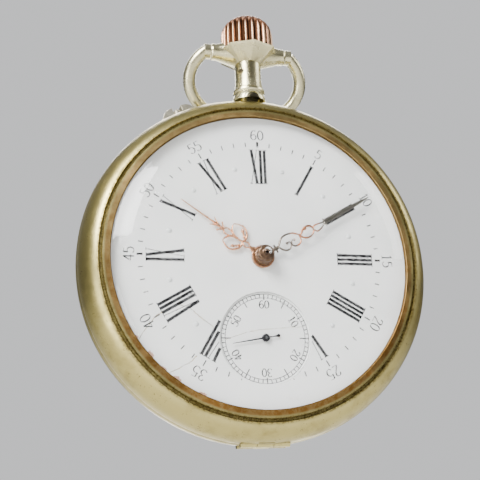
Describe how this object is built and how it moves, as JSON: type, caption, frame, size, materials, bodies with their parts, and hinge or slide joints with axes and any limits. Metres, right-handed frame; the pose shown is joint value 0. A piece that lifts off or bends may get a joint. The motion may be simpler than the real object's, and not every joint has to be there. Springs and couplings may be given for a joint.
{
  "type": "pocket watch",
  "caption": "Open-faced pocket watch with hinged bezel and back, crown, bow, enamel dial with sunk seconds and a full lever movement inside.",
  "frame": {"origin": "centre of the flat outer face of the back cover, on the axis of the hands", "axes": "+Z from six to twelve o'clock and the crown, +Y out of the back, the dial faces -Y, +X towards three o'clock seen from the dial"},
  "size_m": [0.0502, 0.0127, 0.0648],
  "materials": {
    "case_nickel_silver": "tarnished nickel silver",
    "inner_cover_nickel_silver": "polished nickel silver",
    "pendant_nickel_silver": "worn nickel silver",
    "push_steel": "worn steel",
    "crown_gilt": "gilt worn to copper",
    "steel_pins": "polished steel",
    "glass": "clear",
    "white_enamel": "fired enamel",
    "rose_gilt": "rose gilt",
    "black_steel": "blackened",
    "plate_nickel": "nickel plated brass",
    "wheel_brass": "gilt brass",
    "polished_steel": "polished steel",
    "blued_steel": "blued steel",
    "ruby": "polished ruby"
  },
  "bodies": {
    "case": {"case_middle": "case_nickel_silver", "pendant": "pendant_nickel_silver", "push_guard": "pendant_nickel_silver", "bezel_hinge_pin": "steel_pins", "back_hinge_pin": "steel_pins", "cuvette_hinge_pin": "steel_pins", "case_screws": "blued_steel", "mainplate": "plate_nickel", "barrel_bridge": "plate_nickel", "train_bridge": "plate_nickel", "balance_cock": "plate_nickel", "pallet_cock": "plate_nickel", "jewels": "ruby", "bridge_screws": "blued_steel", "dial": "white_enamel", "seconds_dial": "white_enamel", "crown_wheel_screw": "blued_steel", "click_spring": "polished_steel", "setting_spring": "polished_steel", "hairspring": "blued_steel"},
    "bezel": {"bezel": "case_nickel_silver", "crystal": "glass"},
    "back_cover": {"back_cover": "case_nickel_silver"},
    "cuvette": {"cuvette": "inner_cover_nickel_silver"},
    "bow": {"bow": "pendant_nickel_silver"},
    "crown_and_stem": {"crown": "crown_gilt", "winding_stem": "steel_pins", "winding_pinion": "polished_steel"},
    "sliding_pinion": {"sliding_pinion": "polished_steel"},
    "crown_wheel": {"crown_wheel": "polished_steel"},
    "ratchet": {"ratchet_wheel": "polished_steel", "ratchet_screw": "blued_steel", "barrel_arbor": "polished_steel"},
    "click": {"click": "polished_steel"},
    "push_piece": {"push_piece": "push_steel"},
    "setting_lever": {"setting_lever": "polished_steel"},
    "barrel": {"barrel": "wheel_brass", "barrel_cover": "wheel_brass", "mainspring": "blued_steel"},
    "centre_wheel": {"centre_wheel": "wheel_brass", "centre_pinion": "polished_steel", "cannon_pinion": "polished_steel", "minute_hand": "rose_gilt"},
    "hour_wheel": {"hour_wheel": "wheel_brass", "hour_hand": "rose_gilt"},
    "minute_wheel": {"minute_wheel": "wheel_brass"},
    "setting_wheel": {"setting_wheel": "polished_steel"},
    "third_wheel": {"third_wheel": "wheel_brass", "third_pinion": "polished_steel"},
    "fourth_wheel": {"fourth_wheel": "wheel_brass", "fourth_pinion": "polished_steel", "seconds_hand": "black_steel"},
    "escape_wheel": {"escape_wheel": "polished_steel", "escape_pinion": "polished_steel"},
    "pallet_fork": {"pallet_fork": "polished_steel", "pallet_stones": "ruby", "pallet_arbor": "polished_steel"},
    "balance": {"balance_wheel": "wheel_brass", "balance_staff": "polished_steel"},
    "regulator": {"regulator_index": "polished_steel"}
  },
  "joints": [
    {"name": "bezel_hinge", "type": "hinge", "parent": "case", "child": "bezel", "pos_m": [0, -0.0062, -0.0247], "axis": [1, 0, 0], "range_deg": [0, 95]},
    {"name": "back_cover_hinge", "type": "hinge", "parent": "case", "child": "back_cover", "pos_m": [0, -0.004, -0.0247], "axis": [-1, 0, 0], "range_deg": [0, 100]},
    {"name": "cuvette_hinge", "type": "hinge", "parent": "case", "child": "cuvette", "pos_m": [0, -0.0031, -0.0228], "axis": [-1, 0, 0], "range_deg": [0, 90]},
    {"name": "bow_hinge", "type": "hinge", "parent": "case", "child": "bow", "pos_m": [0, -0.006, 0.0336], "axis": [1, 0, 0], "range_deg": [0, 300]},
    {"name": "crown_turn", "type": "hinge", "parent": "case", "child": "crown_and_stem", "pos_m": [0, -0.006, 0.03], "axis": [0, 0, 1], "continuous": true},
    {"name": "sliding_pinion_slide", "type": "slide", "parent": "crown_and_stem", "child": "sliding_pinion", "axis": [0, 0, -1], "range_m": [0, 0.00113]},
    {"name": "push_piece_press", "type": "slide", "parent": "case", "child": "push_piece", "axis": [0.4226, 0, -0.9063], "range_m": [0, 0.00046], "stiffness_N_per_m": 1500, "springref_m": -0.0004},
    {"name": "setting_lever_swing", "type": "hinge", "parent": "case", "child": "setting_lever", "pos_m": [-0.0115, -0.0076, 0.0135], "axis": [0, 1, 0], "range_deg": [0, 5.69]},
    {"name": "crown_wheel_turn", "type": "hinge", "parent": "case", "child": "crown_wheel", "pos_m": [0, -0.0026, 0.01541], "axis": [0, 1, 0], "continuous": true},
    {"name": "ratchet_turn", "type": "hinge", "parent": "case", "child": "ratchet", "pos_m": [-0.00575, -0.0026, 0.00692], "axis": [0, 1, 0], "continuous": true},
    {"name": "click_lift", "type": "hinge", "parent": "case", "child": "click", "pos_m": [-0.01425, -0.0026, 0.00902], "axis": [0, -1, 0], "range_deg": [0, 8], "stiffness_Nm_per_rad": 0.0002, "springref_deg": -11.46},
    {"name": "minute_hand_turn", "type": "hinge", "parent": "case", "child": "centre_wheel", "pos_m": [0, -0.005, 0], "axis": [0, 1, 0], "continuous": true},
    {"name": "hour_hand_turn", "type": "hinge", "parent": "case", "child": "hour_wheel", "pos_m": [0, -0.008, 0], "axis": [0, 1, 0], "continuous": true},
    {"name": "minute_wheel_turn", "type": "hinge", "parent": "case", "child": "minute_wheel", "pos_m": [0.00274, -0.0075, 0.00394], "axis": [0, 1, 0], "continuous": true},
    {"name": "setting_wheel_turn", "type": "hinge", "parent": "case", "child": "setting_wheel", "pos_m": [0, -0.0075, 0.0106], "axis": [0, 1, 0], "continuous": true},
    {"name": "third_wheel_turn", "type": "hinge", "parent": "case", "child": "third_wheel", "pos_m": [-0.00444, -0.005, -0.00699], "axis": [0, 1, 0], "continuous": true},
    {"name": "seconds_hand_turn", "type": "hinge", "parent": "case", "child": "fourth_wheel", "pos_m": [0, -0.005, -0.0112], "axis": [0, 1, 0], "continuous": true},
    {"name": "escape_wheel_turn", "type": "hinge", "parent": "case", "child": "escape_wheel", "pos_m": [0.00558, -0.005, -0.01269], "axis": [0, 1, 0], "continuous": true},
    {"name": "barrel_turn", "type": "hinge", "parent": "case", "child": "barrel", "pos_m": [-0.00575, -0.006, 0.00692], "axis": [0, 1, 0], "continuous": true},
    {"name": "balance_swing", "type": "hinge", "parent": "case", "child": "balance", "pos_m": [0.01005, -0.004, -0.00479], "axis": [0, 1, 0], "range_deg": [-270, 270], "stiffness_Nm_per_rad": 0.000002},
    {"name": "pallet_fork_swing", "type": "hinge", "parent": "case", "child": "pallet_fork", "pos_m": [0.00751, -0.0053, -0.00927], "axis": [0, 1, 0], "range_deg": [-5.6, 5.6]},
    {"name": "regulator_swing", "type": "hinge", "parent": "case", "child": "regulator", "pos_m": [0.01005, -0.002, -0.00479], "axis": [0, 1, 0], "range_deg": [-18, 18]}
  ],
  "couplings": [
    {"joint": "cuvette_hinge", "follows": "back_cover_hinge", "ratio": 0.9},
    {"joint": "sliding_pinion_slide", "follows": "push_piece_press", "ratio": 2.4379},
    {"joint": "setting_lever_swing", "follows": "push_piece_press", "rad_per_m": 211.99},
    {"joint": "crown_wheel_turn", "follows": "crown_turn", "ratio": -0.77778},
    {"joint": "ratchet_turn", "follows": "crown_turn", "ratio": 0.49778},
    {"joint": "hour_hand_turn", "follows": "minute_hand_turn", "ratio": 0.083333},
    {"joint": "minute_wheel_turn", "follows": "minute_hand_turn", "ratio": -0.33333},
    {"joint": "setting_wheel_turn", "follows": "minute_hand_turn", "ratio": 0.33333},
    {"joint": "third_wheel_turn", "follows": "minute_hand_turn", "ratio": -8},
    {"joint": "seconds_hand_turn", "follows": "minute_hand_turn", "ratio": 60},
    {"joint": "escape_wheel_turn", "follows": "minute_hand_turn", "ratio": -600},
    {"joint": "barrel_turn", "follows": "minute_hand_turn", "ratio": -0.125},
    {"joint": "pallet_fork_swing", "follows": "balance_swing", "ratio": 0.02037}
  ]
}
